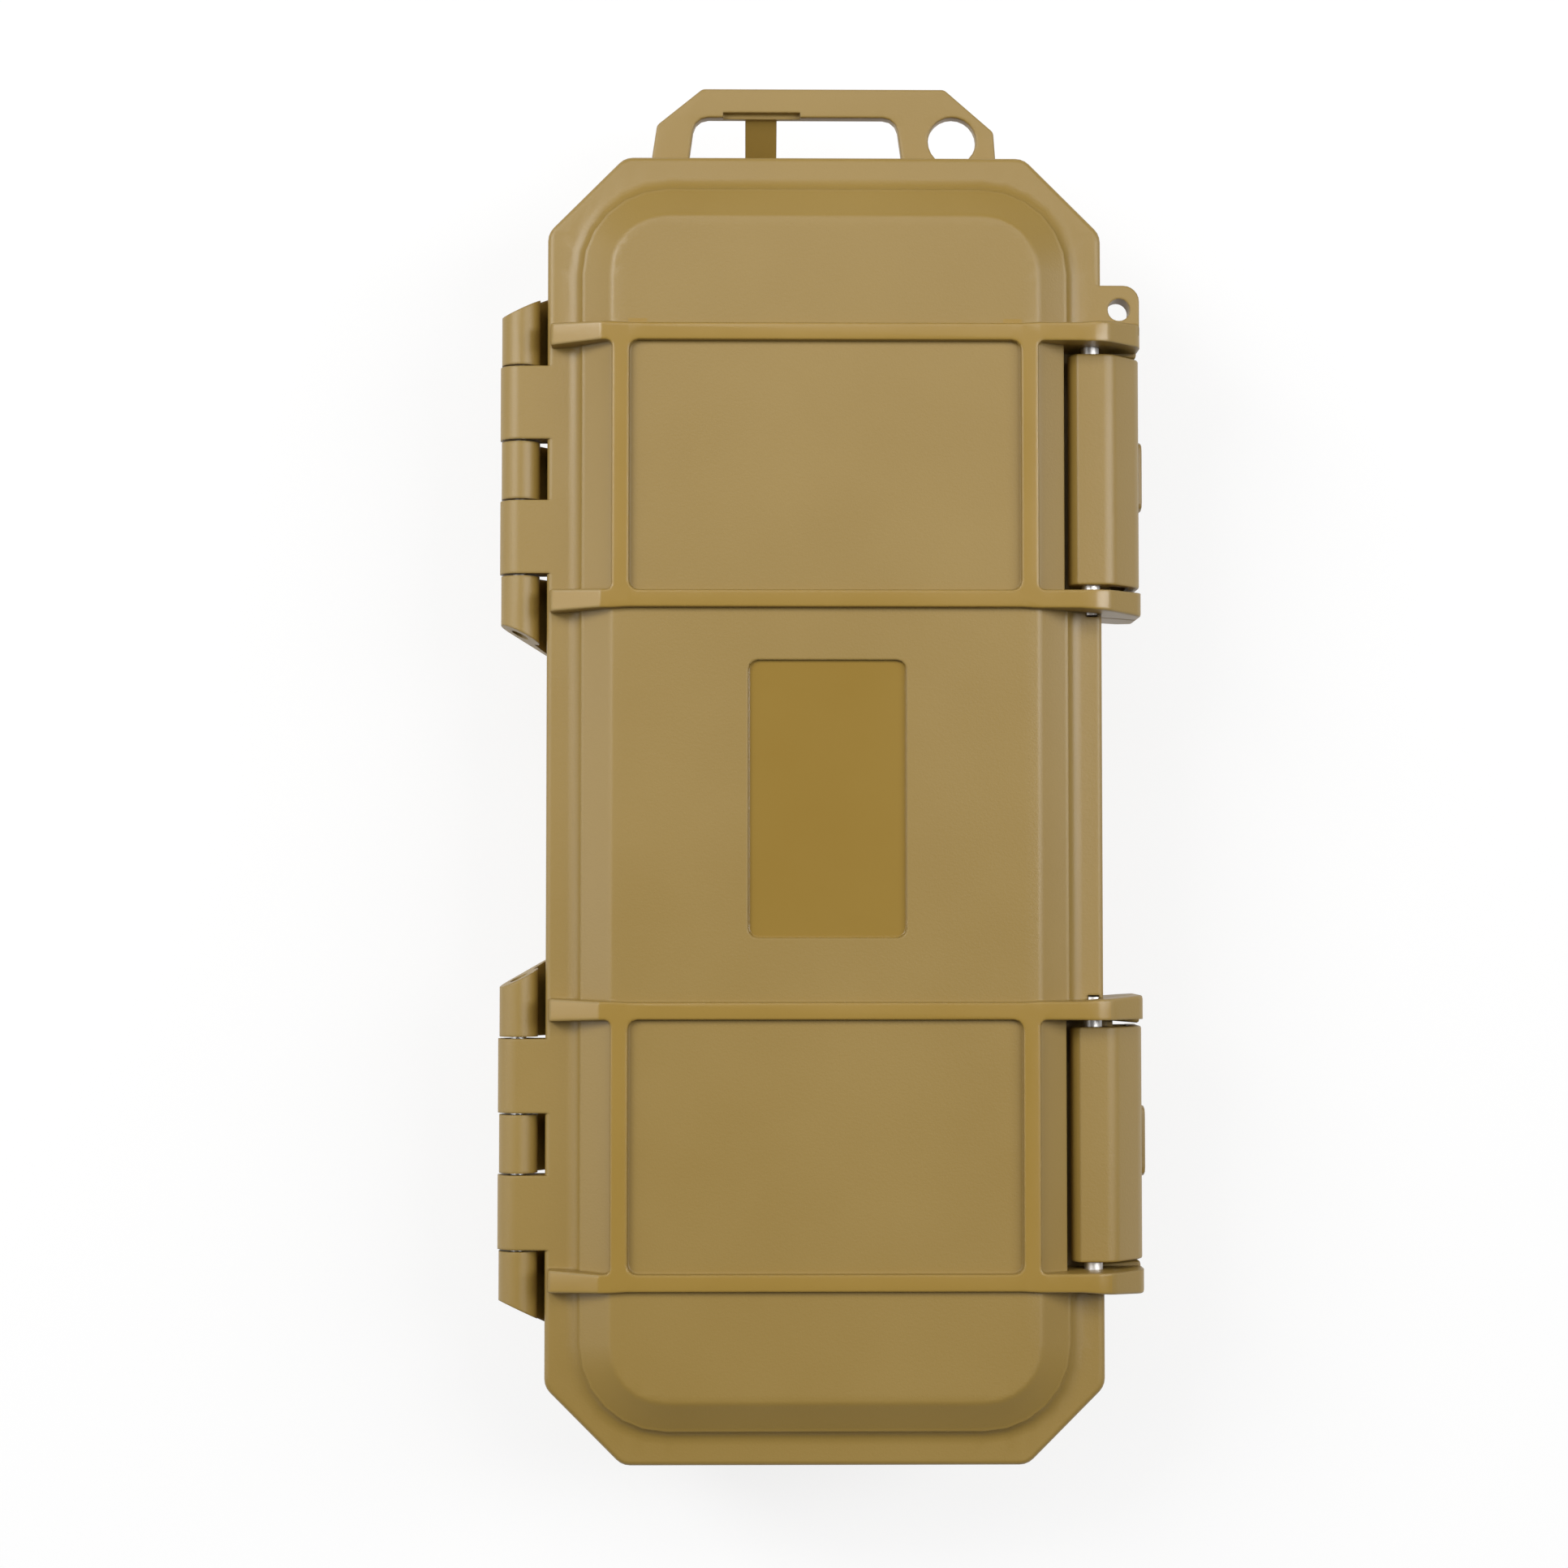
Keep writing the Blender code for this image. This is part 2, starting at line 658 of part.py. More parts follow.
def make_lid(look, frame, hinge):
    edge = convex(FLANGE_EDGE_ROUND, FILLET_STEPS)
    flange = plate("lid_flange", flange_outline(), LID_BOTTOM, LID_FLANGE_TOP, top=edge)
    lid = add_part("lid_shell", flange, look, hinge, mount=(HINGE_X, 0.0, HINGE_Z))
    added = [lid_dome(), lid_lug()]
    for _, centre in BELTS:
        added.append(lid_belt(centre))
        for side in (1, -1):
            y = wing_y(centre, side)
            added += [lid_wing(y), lid_arm(y), lid_ear(centre, side)]
        for low, high in knuckle_spans(centre, True):
            added += lid_knuckle(low, high)
    combine(lid, "UNION", added, frame)

    label_x, label_y = LABEL_WIDTH / 2, LABEL_LENGTH / 2
    label = box_outline(
        LABEL_SHIFT_X - label_x,
        LABEL_SHIFT_X + label_x,
        LABEL_SHIFT_Y - label_y,
        LABEL_SHIFT_Y + label_y,
        LABEL_CORNER,
        FILLET_STEPS,
    )
    cavity = plate("lid_cavity", shell_outline(CAVITY_INSET), LID_BOTTOM - OVERRUN, LID_CEILING)
    cuts = [
        cavity,
        ring("groove", SEAL_RADIUS + SEAL_SIDE_GAP, LID_BOTTOM - OVERRUN, LID_BOTTOM + GROOVE_DEPTH),
        plate("label", label, LID_FACE - LABEL_DEPTH, LID_FACE + OVERRUN),
    ]
    inner = LATCH_PIN_X - LATCH_HEAD_RADIUS - LATCH_HEAD_GAP
    outer = HALF_WIDTH + GUARD_REACH + OVERRUN
    for _, centre in BELTS:
        seat = box_outline(inner, outer, centre - EAR_INNER, centre + EAR_INNER)
        cuts.append(plate("latch_seat", seat, LID_BOTTOM - OVERRUN, RIB_TOP + OVERRUN))
        pin_hole = LATCH_PIN_RADIUS + PIN_RUNNING_GAP
        reach = EAR_OUTER + LATCH_PIN_PROUD + PIN_END_GAP
        cuts.append(belt_cut("latch_pin_hole", pin_hole, centre, LATCH_PIN_X, LATCH_PIN_Z, reach))
        pin_hole = HINGE_PIN_RADIUS + PIN_RUNNING_GAP
        reach = HINGE_HALF_LENGTH + OVERRUN
        cuts.append(belt_cut("hinge_pin_hole", pin_hole, centre, HINGE_X, HINGE_Z, reach))
    combine(lid, "DIFFERENCE", cuts, frame)
    return lid


def base_body():
    """The deep body, drawn upside down from the flange so that it narrows with its draft."""
    depth = PARTING_HEIGHT - RIB_BURY - BASE_BODY_BOTTOM
    fillet = concave(BASE_FOOT_FILLET)
    wall_start = BASE_FLANGE_THICKNESS - RIB_BURY
    wall_end = depth - BASE_BOTTOM_ROUND
    inset = BASE_FOOT_FILLET + BASE_WALL_DRAFT
    rounding = convex(BASE_BOTTOM_ROUND, FILLET_STEPS, inset, wall_end - wall_start)
    profile = fillet + [(inset, wall_end - wall_start)] + rounding
    mesh = plate("base_body", shell_outline(BASE_FOOT_INSET), 0.0, depth, top=profile)
    return upside_down(mesh, PARTING_HEIGHT - RIB_BURY)


def base_wall_x(height):
    """How far out the body's side wall is at a height."""
    top = BASE_FLANGE_BOTTOM
    share = (top - height) / (top - BASE_BODY_BOTTOM - BASE_BOTTOM_ROUND)
    return HALF_WIDTH - BASE_WALL_INSET - BASE_WALL_DRAFT * share


def base_wall_y(height):
    return base_wall_x(height) - HALF_WIDTH + HALF_LENGTH


def base_rib(y):
    """A rib that runs down both sides of the body and across its bottom."""
    top = BASE_FLANGE_BOTTOM + RIB_BURY
    low = BASE_BODY_BOTTOM + BASE_BOTTOM_ROUND
    corner = BASE_BOTTOM_ROUND + RIB_HEIGHT
    right = [
        (base_wall_x(low) + RIB_HEIGHT, 0.0, corner),
        (base_wall_x(top) + RIB_HEIGHT, top, 0.0),
    ]
    corners = right + [(-x, z, radius) for x, z, radius in reversed(right)]
    half = RIB_WIDTH / 2
    rim = convex(RIM_ROUND)
    return upright(plate("base_rib", rounded(corners, FILLET_STEPS), -half, half, rim, rim), y)


def base_rail(centre, side):
    """A foot rib along the bottom between two cross ribs."""
    x = side * (RAIL_X - BASE_WALL_DRAFT)
    half = RIB_WIDTH / 2
    outline = box_outline(x - half, x + half, centre - RIB_SPREAD, centre + RIB_SPREAD)
    return plate("base_rail", outline, 0.0, BASE_BODY_BOTTOM + RIB_BURY, bottom=convex(RIM_ROUND))


def base_guard(centre, side):
    """The guard beside a latch, in line with the lid's ear."""
    wall = base_wall_x(PARTING_HEIGHT - GUARD_DEPTH) - RIB_BURY
    reach = HALF_WIDTH + GUARD_REACH
    bottom = PARTING_HEIGHT - GUARD_DEPTH
    cut = GUARD_CORNER_CUT
    corners = [
        (wall, PARTING_HEIGHT, 0.0),
        (wall, bottom - cut, 0.0),
        (reach - cut, bottom, cut / 2),
        (reach, bottom + cut, cut / 2),
        (reach, PARTING_HEIGHT, 0.0),
    ]
    return guard_plate("guard", rounded(corners, SMALL_STEPS), centre, side)


def base_catch(centre):
    """The ledge that a latch's hook bites under, with a gusset below it."""
    x, z = HALF_WIDTH, PARTING_HEIGHT
    wall = base_wall_x(z - CATCH_DROP - CATCH_GUSSET) - RIB_BURY
    corners = [
        (wall, z - CATCH_TOP_DROP, 0.0),
        (wall, z - CATCH_DROP - CATCH_GUSSET, 0.0),
        (x + CATCH_REACH - CATCH_LEDGE, z - CATCH_DROP, 0.0),
        (x + CATCH_REACH, z - CATCH_DROP, 0.0),
        (x + CATCH_REACH, z - CATCH_TOP_DROP - CATCH_CHAMFER, 0.0),
        (x + CATCH_REACH - CATCH_CHAMFER, z - CATCH_TOP_DROP, 0.0),
    ]
    half = EAR_OUTER - GUARD_THICKNESS / 2
    return upright(plate("catch", rounded(corners), -half, half), centre)


def base_bracket(low, high, centre):
    """A base knuckle: a barrel on a gusset that comes up from the body's wall.

    At a hinge's outer ends the gusset is longer, as the chamfer there has a draft."""
    wall = -base_wall_x(PARTING_HEIGHT - BRACKET_DEPTH) + RIB_BURY
    flange = -HALF_WIDTH + BRACKET_BURY
    side = BASE_KNUCKLE_RADIUS * math.sin(math.pi / 4)
    corners = [
        (HINGE_X - side, HINGE_Z - side, 0.0),
        (wall, PARTING_HEIGHT - BRACKET_DEPTH, 0.0),
        (wall, BASE_FLANGE_BOTTOM + RIB_BURY, 0.0),
        (flange, BASE_FLANGE_BOTTOM + RIB_BURY, 0.0),
        (-HALF_WIDTH, PARTING_HEIGHT - BRACKET_TOP_DROP, 0.0),
        (HINGE_X + side, HINGE_Z - side, 0.0),
    ]
    barrel = rod("base_barrel", HINGE_X, HINGE_Z, BASE_KNUCKLE_RADIUS, low, high)
    inner = LID_KNUCKLE_END + KNUCKLE_GAP
    if low < centre - inner:
        low -= BRACKET_DRAFT
    if high > centre + inner:
        high += BRACKET_DRAFT
    half = (high - low) / 2
    gusset = upright(plate("gusset", rounded(corners), -half, half), low + half)
    return gusset, barrel


def bracket_chamfer(centre, side):
    """Cuts a hinge's outer end off at a slant, from the flange's edge to the barrel.

    The cut leans outwards on its way down, so that the bracket can leave its mould."""
    end = centre + side * HINGE_HALF_LENGTH
    outer = HINGE_X - BASE_KNUCKLE_RADIUS
    flange = -HALF_WIDTH
    lean = BRACKET_CHAMFER / (flange - outer)
    far = outer - OVERRUN
    past = side * (OVERRUN + BRACKET_DRAFT)
    corners = [
        (far, end - side * lean * (flange - far)),
        (flange, end),
        (flange, end + past),
        (far, end + past),
    ]
    outline = [Vector(corner) for corner in corners]
    low, high = PARTING_HEIGHT - BRACKET_DEPTH - OVERRUN, HINGE_Z + BASE_KNUCKLE_RADIUS
    mesh = plate("bracket_chamfer", outline, low, high + OVERRUN)
    for vertex in mesh.vertices:
        vertex.co.y += side * BRACKET_DRAFT * (high - vertex.co.z) / BRACKET_DEPTH
    return mesh


def handle_side(side, shoulder, shoulder_reach):
    """Half of the loop's outline, from its crest down to its root inside the flange."""
    y = HALF_LENGTH
    half = [
        (HANDLE_CREST_HALF, y + HANDLE_REACH, HANDLE_CORNER_ROUND),
        (shoulder, y + shoulder_reach, HANDLE_CORNER_ROUND),
        (HANDLE_ROOT_HALF, y, 0.0),
        (HANDLE_ROOT_HALF, y - HANDLE_ROOT_DEPTH, 0.0),
    ]
    return [(side * x, y, radius) for x, y, radius in half]


def handle_loop():
    """The flat loop: a bar on two legs, with a long slot and a round cord hole."""
    y = HALF_LENGTH
    left = handle_side(-1, HANDLE_LEFT_SHOULDER, HANDLE_LEFT_SHOULDER_REACH)
    right = handle_side(1, HANDLE_RIGHT_SHOULDER, HANDLE_RIGHT_SHOULDER_REACH)
    outer = rounded(left + right[::-1], FILLET_STEPS)
    low, high = y + HANDLE_SEAM, y + HANDLE_REACH - HANDLE_BAR
    slot = [
        (-SLOT_LEFT, low, 0.0),
        (SLOT_RIGHT, low, 0.0),
        (SLOT_RIGHT - SLOT_TAPER, high, SLOT_CORNER),
        (-SLOT_LEFT + SLOT_TAPER, high, SLOT_CORNER),
    ]
    hole = circle(CORD_HOLE_X, y + CORD_HOLE_REACH, CORD_HOLE_RADIUS)
    rim, flare = convex(RIM_ROUND), flared(RIM_ROUND)
    low, high = HANDLE_BOTTOM - OVERRUN, HANDLE_TOP + OVERRUN
    cuts = [
        plate("handle_slot", rounded(slot, FILLET_STEPS), low, high, flare, flare),
        plate("cord_hole", hole, low, high, flare, flare),
    ]
    return plate("handle_loop", outer, HANDLE_BOTTOM, HANDLE_TOP, rim, rim), cuts


def handle_strut():
    """The strut that braces the bar: it rises from the body's wall, under the slot."""
    near = HALF_LENGTH + HANDLE_REACH - HANDLE_BAR
    far = HALF_LENGTH + STRUT_REACH
    top = HANDLE_BOTTOM + STRUT_OVERLAP
    foot = HANDLE_BOTTOM - STRUT_FALL
    wall = base_wall_y(foot - STRUT_THICKNESS) - RIB_BURY
    corners = [
        (wall, foot, 0.0),
        (wall, foot - STRUT_THICKNESS, 0.0),
        (far, HANDLE_BOTTOM - STRUT_OVERLAP, 0.0),
        (far, top, 0.0),
        (near, top, 0.0),
    ]
    half = STRUT_WIDTH / 2
    return endways(plate("handle_strut", rounded(corners), -half, half), -STRUT_LEFT + half)


def handle_notch():
    """The relief in the bar's inner edge, over the strut."""
    high = HALF_LENGTH + HANDLE_REACH - HANDLE_BAR + NOTCH_CUT
    low = high - NOTCH_CUT - OVERRUN
    outline = box_outline(-NOTCH_LEFT, -NOTCH_LEFT + NOTCH_WIDTH, low, high)
    return plate("handle_notch", outline, HANDLE_TOP - NOTCH_DEPTH, HANDLE_TOP + OVERRUN)


def base_cavity():
    depth = PARTING_HEIGHT + OVERRUN - FLOOR_TOP
    wall_end = depth - CAVITY_BOTTOM_ROUND
    rounding = convex(CAVITY_BOTTOM_ROUND, FILLET_STEPS, CAVITY_DRAFT, wall_end - OVERRUN)
    profile = [(CAVITY_DRAFT, wall_end - OVERRUN)] + rounding
    mesh = plate("base_cavity", shell_outline(CAVITY_INSET), 0.0, depth, top=profile)
    return upside_down(mesh, PARTING_HEIGHT + OVERRUN)


def make_base(look, frame):
    edge = convex(FLANGE_EDGE_ROUND, FILLET_STEPS)
    flange = plate("base_flange", flange_outline(), BASE_FLANGE_BOTTOM, PARTING_HEIGHT, bottom=edge)
    base = add_part("base_shell", flange, look, frame)
    added = [
        base_body(),
        ring("tongue", TONGUE_WIDTH / 2, PARTING_HEIGHT - RIB_BURY, PARTING_HEIGHT + TONGUE_HEIGHT),
        handle_loop(),
        handle_strut(),
    ]
    for _, centre in BELTS:
        added.append(base_catch(centre))
        for side in (1, -1):
            added.append(base_rib(centre + side * RIB_SPREAD))
            added += [base_rail(centre, side), base_guard(centre, side)]
        for low, high in knuckle_spans(centre, False):
            added += base_bracket(low, high, centre)
    combine(base, "UNION", added, frame)

    cuts = [base_cavity(), handle_notch()]
    for _, centre in BELTS:
        pin_hole = HINGE_PIN_RADIUS + PIN_RUNNING_GAP
        reach = HINGE_HALF_LENGTH + OVERRUN
        cuts.append(belt_cut("base_pin_hole", pin_hole, centre, HINGE_X, HINGE_Z, reach))
        cuts += [bracket_chamfer(centre, side) for side in (1, -1)]
    combine(base, "DIFFERENCE", cuts, frame)
    return base


def latch_outline():
    """The latch's section, measured from its pin's axis."""
    flange = LATCH_PIN_INSET
    outer = flange + LATCH_REACH
    slope_end = LATCH_TOP_RISE - LATCH_SLOPE_DROP
    shoulder = flange + LATCH_SHOULDER
    lean = (outer - shoulder) / LATCH_SLOPE_DROP
    wall = LATCH_WALL * math.hypot(1, lean)
    inner = outer - LATCH_WALL
    inner_end = slope_end + (inner - outer + wall) / lean
    bottom = -LATCH_DROP
    hook_top = PARTING_HEIGHT - CATCH_DROP - SEAT_GAP - LATCH_PIN_Z
    hook_low = hook_top - HOOK_THICKNESS
    tip = flange + CATCH_REACH - HOOK_BITE
    head = LATCH_HEAD_RADIUS
    top_left = math.acos(LATCH_TOP_RISE / head) + math.pi / 2
    corners = [
        (shoulder, LATCH_TOP_RISE, LATCH_SHOULDER_ROUND),
        (outer, slope_end, LATCH_SLOPE_ROUND),
        (outer, bottom + LIP_HEIGHT, LIP_FLARE),
        (outer + LIP_FLARE, bottom + LATCH_TIP_ROUND, LATCH_TIP_ROUND),
        (outer - LATCH_TIP_ROUND, bottom, LATCH_TIP_ROUND),
        (inner, bottom + LATCH_TIP_ROUND, LATCH_TIP_ROUND),
        (inner, hook_low - HOOK_RAMP, LATCH_TIP_ROUND),
        (tip, hook_low, 0.0),
        (tip, hook_top, 0.0),
        (inner, hook_top, LATCH_TIP_ROUND),
        (inner, inner_end, LATCH_SLOPE_ROUND / 2),
    ]
    meet = head_meeting_angle(wall, lean, shoulder)
    sweep = top_left - math.tau - meet
    turns = [meet + sweep * step / ROUND_SIDES for step in range(ROUND_SIDES + 1)]
    corners += [(head * math.cos(a), head * math.sin(a), 0.0) for a in turns]
    return rounded(corners, FILLET_STEPS)


def head_meeting_angle(wall, lean, shoulder):
    """Where the latch's inner face runs into its round head, as an angle about the pin."""
    start = shoulder + lean * LATCH_TOP_RISE - wall
    a = 1 + lean * lean
    b = -2 * start * lean
    c = start * start - LATCH_HEAD_RADIUS * LATCH_HEAD_RADIUS
    z = (-b - math.sqrt(b * b - 4 * a * c)) / (2 * a)
    return math.atan2(z, start - lean * z)


def make_latch(name, centre, look, frame, hinge, hinge_at):
    """A latch that swings on its pin. Its section is drawn round the pin's axis."""
    half = LATCH_LENGTH / 2
    rim = convex(RIM_ROUND)
    axis = Vector((LATCH_PIN_X, centre, LATCH_PIN_Z))
    body = upright(plate(name, latch_outline(), -half, half, rim, rim))
    body.transform(Matrix.Translation(axis))
    latch = add_part(name, body, look, hinge, axis, hinge_at)
    outer = HALF_WIDTH + LATCH_REACH
    pad = box_outline(-PAD_LENGTH / 2, PAD_LENGTH / 2, -PAD_HEIGHT / 2, PAD_HEIGHT / 2, PAD_RISE * 2)
    raised = plate("latch_pad", pad, -LATCH_WALL / 2, PAD_RISE, top=convex(RIM_ROUND))
    middle = LATCH_PIN_Z - LATCH_DROP + LIP_HEIGHT + LATCH_TIP_ROUND + PAD_HEIGHT / 2
    stand = Matrix.Rotation(math.pi / 2, 4, "Z") @ Matrix.Rotation(math.pi / 2, 4, "X")
    raised.transform(Matrix.Translation((outer, centre, middle)) @ stand)
    combine(latch, "UNION", [raised], frame)
    hole = LATCH_PIN_RADIUS + PIN_RUNNING_GAP
    cut = belt_cut("latch_bore", hole, centre, LATCH_PIN_X, LATCH_PIN_Z, half + OVERRUN)
    combine(latch, "DIFFERENCE", [cut], frame)
    return latch


def make_seal(look, hinge, hinge_at):
    """The round sealing cord, laid in the lid's groove as one closed ring."""
    curve = bpy.data.curves.new("lid_seal", "CURVE")
    curve.dimensions = "3D"
    curve.bevel_depth = SEAL_RADIUS
    curve.bevel_resolution = 1
    spline = curve.splines.new("POLY")
    path = shell_outline(SEAL_INSET)
    spline.points.add(len(path) - 1)
    height = LID_BOTTOM + GROOVE_DEPTH - SEAT_GAP - SEAL_RADIUS
    for point, (x, y) in zip(spline.points, path):
        point.co = (x - HINGE_X, y, height - HINGE_Z, 1.0)
    spline.use_cyclic_u = True
    curve.materials.append(look)
    seal = bpy.data.objects.new("lid_seal", curve)
    seal.parent = hinge
    seal.location = Vector((HINGE_X, 0.0, HINGE_Z)) - Vector(hinge_at)
    PARTS.objects.link(seal)
    return seal


def make_foam(look, frame, hinge, hinge_at):
    inset = CAVITY_INSET + CAVITY_DRAFT + CAVITY_BOTTOM_ROUND + FOAM_SIDE_GAP
    low = FLOOR_TOP + SEAT_GAP
    edge = convex(FOAM_EDGE_ROUND)
    pad = plate("base_foam", shell_outline(inset), low, low + BASE_FOAM_THICKNESS, top=edge)
    add_part("base_foam", pad, look, frame)
    inset = CAVITY_INSET + FOAM_SIDE_GAP
    high = LID_CEILING - SEAT_GAP
    pad = plate("lid_foam", shell_outline(inset), high - LID_FOAM_THICKNESS, high, bottom=edge)
    add_part("lid_foam", pad, look, hinge, (HINGE_X, 0.0, HINGE_Z), hinge_at)


def make_pins(word, centre, look, frame, hinge, hinge_at):
    """The latch's pin, held in the lid's ears, and the hinge's pin, held in the base's barrels."""
    x, z, reach = LATCH_PIN_X, LATCH_PIN_Z, EAR_OUTER + LATCH_PIN_PROUD
    pin = rod("latch_pin", x, z, LATCH_PIN_RADIUS, centre - reach, centre + reach)
    add_part("latch_pin_" + word, pin, look, hinge, (x, centre, z), hinge_at)
    x, z, reach = HINGE_X, HINGE_Z, HINGE_HALF_LENGTH - BRACKET_CHAMFER
    pin = rod("hinge_pin", x, z, HINGE_PIN_RADIUS, centre - reach, centre + reach)
    add_part("hinge_pin_" + word, pin, look, frame, (x, centre, z))


def main():
    tan = material("tan_plastic", SHELL_COLOUR, 0.48)
    latch_tan = material("tan_latch_plastic", SHELL_COLOUR, 0.42)
    steel = material("pin_steel", (0.62, 0.62, 0.63), 0.25, 1.0)
    rubber = material("seal_rubber", (0.016, 0.016, 0.017), 0.6)
    foam = material("pad_foam", (0.030, 0.030, 0.032), 0.95)

    frame = new_empty("case_frame", None, (FRAME_X, FRAME_Y, 0.0))
    hinge_at = (HINGE_X, 0.0, HINGE_Z)
    hinge = new_empty("lid_hinge_axis", frame, hinge_at)

    make_base(tan, frame)
    make_lid(tan, frame, hinge)
    make_seal(rubber, hinge, hinge_at)
    make_foam(foam, frame, hinge, hinge_at)
    for word, centre in BELTS:
        make_latch("latch_" + word, centre, latch_tan, frame, hinge, hinge_at)
        make_pins(word, centre, steel, frame, hinge, hinge_at)


main()
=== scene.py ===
# %% [markdown]
# # A waterproof hard case, dressed for its photograph
# The solid parts of the case come from a CAD model. They could be modelled in Blender too, but
# hinges and bores need a maker's exact solids, so Blender only dresses them here: with a grained
# plastic, polished ribs, drawn steel pins, foam and a rubber seal. Then it sets the floor, the
# light and the camera as in the photograph.

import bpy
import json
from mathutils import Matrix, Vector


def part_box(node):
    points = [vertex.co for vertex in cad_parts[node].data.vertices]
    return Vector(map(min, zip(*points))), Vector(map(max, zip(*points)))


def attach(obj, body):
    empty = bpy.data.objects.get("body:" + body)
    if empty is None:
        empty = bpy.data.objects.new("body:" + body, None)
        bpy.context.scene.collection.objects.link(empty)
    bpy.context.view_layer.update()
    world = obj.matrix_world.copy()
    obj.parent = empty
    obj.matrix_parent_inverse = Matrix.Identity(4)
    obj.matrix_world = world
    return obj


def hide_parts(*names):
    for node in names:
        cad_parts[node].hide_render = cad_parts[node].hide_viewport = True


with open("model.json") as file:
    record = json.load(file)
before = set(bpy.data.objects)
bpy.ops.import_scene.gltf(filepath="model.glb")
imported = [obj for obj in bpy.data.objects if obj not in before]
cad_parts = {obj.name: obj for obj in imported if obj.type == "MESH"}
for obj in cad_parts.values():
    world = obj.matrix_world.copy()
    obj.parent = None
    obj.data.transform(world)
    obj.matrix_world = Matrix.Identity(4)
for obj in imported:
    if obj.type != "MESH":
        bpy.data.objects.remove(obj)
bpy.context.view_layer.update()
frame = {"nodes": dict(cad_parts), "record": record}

import json
import math

import bmesh
import bpy
from mathutils import Matrix, Vector

MM = 0.001
nodes = frame["nodes"]
print("CAD nodes:", ", ".join(sorted(nodes)))

# %% [markdown]
# ## Read the main sizes off the model
# Every node lies in world coordinates, so its box says where it is. Sizes could be typed in, but
# those read off the model stay right when the model changes. The crests of the ribs are the lid's
# highest faces, and each belt of ribs has a latch at its middle.

# %% Measure the ribs
rib_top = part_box("lid_shell")[1].z
belts = []
for latch in ("latch_upper", "latch_lower"):
    low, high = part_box(latch)
    belts.append((low.y + high.y) / 2)
print("rib top at %.1f mm, belts at %.1f and %.1f mm" % (rib_top / MM, belts[0] / MM, belts[1] / MM))

# %% [markdown]
# ## Helpers for node materials
# A material is a small tree of nodes, which could be wired by hand in the shader editor. In a
# script two helpers keep it short: one starts a material and finds its shader, and the other adds
# a node and sets its values by name.

# %% Start a material and add nodes to it
def new_material(name):
    material = bpy.data.materials.new(name)
    material.use_nodes = True
    tree = material.node_tree
    shader = tree.nodes["Principled BSDF"]
    return material, tree, shader


def add_node(tree, kind, **settings):
    """Adds a node. A setting goes to the input of that name, or else to the node itself."""
    node = tree.nodes.new(kind)
    for key, value in settings.items():
        if key in node.inputs:
            node.inputs[key].default_value = value
        else:
            setattr(node, key, value)
    return node


print("helpers: new_material, add_node")

# %% [markdown]
# ## Noise, range and colour
# No real surface is even. A noise gives each point a value, a second node stretches the values to
# the range that a tone or a roughness needs, and a third blends two colours by them. Pictures of
# surfaces could do this too, but a noise in object coordinates needs no unwrapping, stays with the
# piece when it moves, and has the same scale on every piece.

# %% Read a noise, stretch it and mix colours by it
def object_noise(tree, scale, detail=3.0, stretch=(1.0, 1.0, 1.0)):
    place = add_node(tree, "ShaderNodeTexCoord")
    mapping = add_node(tree, "ShaderNodeMapping")
    mapping.inputs["Scale"].default_value = stretch
    noise = add_node(tree, "ShaderNodeTexNoise", Scale=scale, Detail=detail)
    tree.links.new(place.outputs["Object"], mapping.inputs["Vector"])
    tree.links.new(mapping.outputs["Vector"], noise.inputs["Vector"])
    return noise.outputs["Fac"]


def remap(tree, value, low, high, start=0.3, end=0.7):
    """Stretches start..end to low..high. Most of a noise lies between 0.3 and 0.7."""
    node = add_node(tree, "ShaderNodeMapRange")
    node.inputs["From Min"].default_value = start
    node.inputs["From Max"].default_value = end
    node.inputs["To Min"].default_value = low
    node.inputs["To Max"].default_value = high
    tree.links.new(value, node.inputs["Value"])
    return node.outputs["Result"]


def mix_colours(tree, factor, first, second):
    mix = add_node(tree, "ShaderNodeMix", data_type="RGBA")
    mix.inputs["A"].default_value = (*first, 1.0)
    mix.inputs["B"].default_value = (*second, 1.0)
    tree.links.new(factor, mix.inputs["Factor"])
    return mix.outputs["Result"]


print("helpers: object_noise, remap, mix_colours")

# %% [markdown]
# ## Bumps and rounded edges
# Moulded edges are never quite sharp: their small rounds catch thin lines of light. A Bevel
# modifier would round the mesh itself, but on a cut CAD mesh it runs into narrow faces and tears
# there. A Bevel node only shades the edges as if they were round, so it can't spoil the shape. It
# goes in front of the bump that makes the grain.

# %% Bump a surface and round its edges
def add_bump(tree, shader, height, strength, distance, edge=0.0):
    """Bumps the surface; a value for edge also shades its edges as rounded by that radius."""
    bump = add_node(tree, "ShaderNodeBump", Strength=strength, Distance=distance)
    tree.links.new(height, bump.inputs["Height"])
    if edge:
        rounding = add_node(tree, "ShaderNodeBevel", samples=4, Radius=edge)
        tree.links.new(rounding.outputs["Normal"], bump.inputs["Normal"])
    tree.links.new(bump.outputs["Normal"], shader.inputs["Normal"])


print("helper: add_bump")

# %% [markdown]
# ## The plastics
# The shells and latches are one tan plastic. Most of the mould is spark-eroded, which leaves a fine
# matt grain. It is polished at the crests of the ribs and still smoother at the label's place, so
# these look glossier and deeper in colour. One material with a painted mask could hold all three,
# but three materials made by one function are easier to tune. A large noise makes the tone and the
# gloss vary a little, as on any real moulding, and a fine one is the grain.

# %% Make the plastics
CLOUD_SCALE = 35.0
GLOSS_SPREAD = 0.03
EDGE_ROUND = 0.5 * MM


